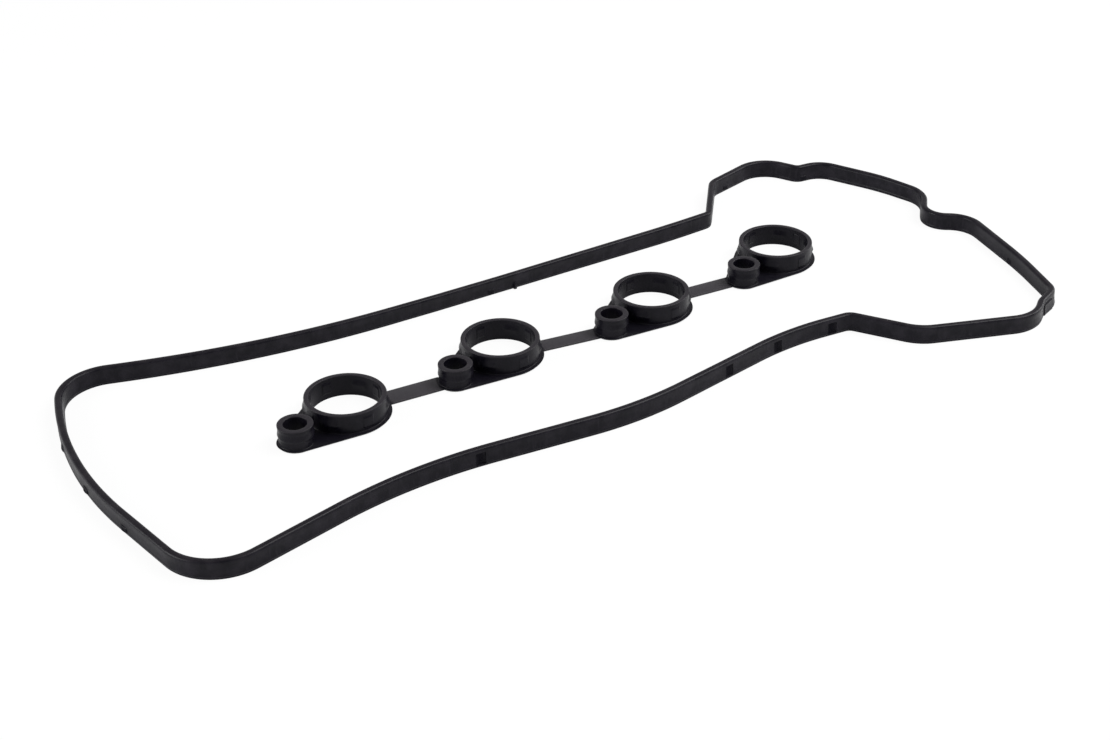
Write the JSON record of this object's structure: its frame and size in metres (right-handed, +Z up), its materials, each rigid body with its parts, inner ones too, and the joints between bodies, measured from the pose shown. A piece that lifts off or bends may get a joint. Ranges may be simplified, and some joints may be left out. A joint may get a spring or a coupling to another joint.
{
  "type": "valve cover gasket",
  "caption": "Moulded black rubber valve cover gasket set for an inline engine: an outer seal that follows the cover's rim, and a strip of plug-well rings with bolt rings beside them",
  "frame": {"origin": "middle of the set's footprint, on the surface that it lies on", "axes": "+X along the row of plug wells, from the seal's plain end to its stepped end; +Y across it, towards the seal's straighter side; +Z up, from the foot to the crown"},
  "size_m": [0.5016, 0.2322, 0.011],
  "materials": {
    "perimeter_seal_rubber": "satin moulded",
    "plug_well_seal_rubber": "satin moulded"
  },
  "bodies": {
    "root": {"perimeter_seal": "perimeter_seal_rubber", "plug_well_seal": "plug_well_seal_rubber"}
  },
  "joints": []
}
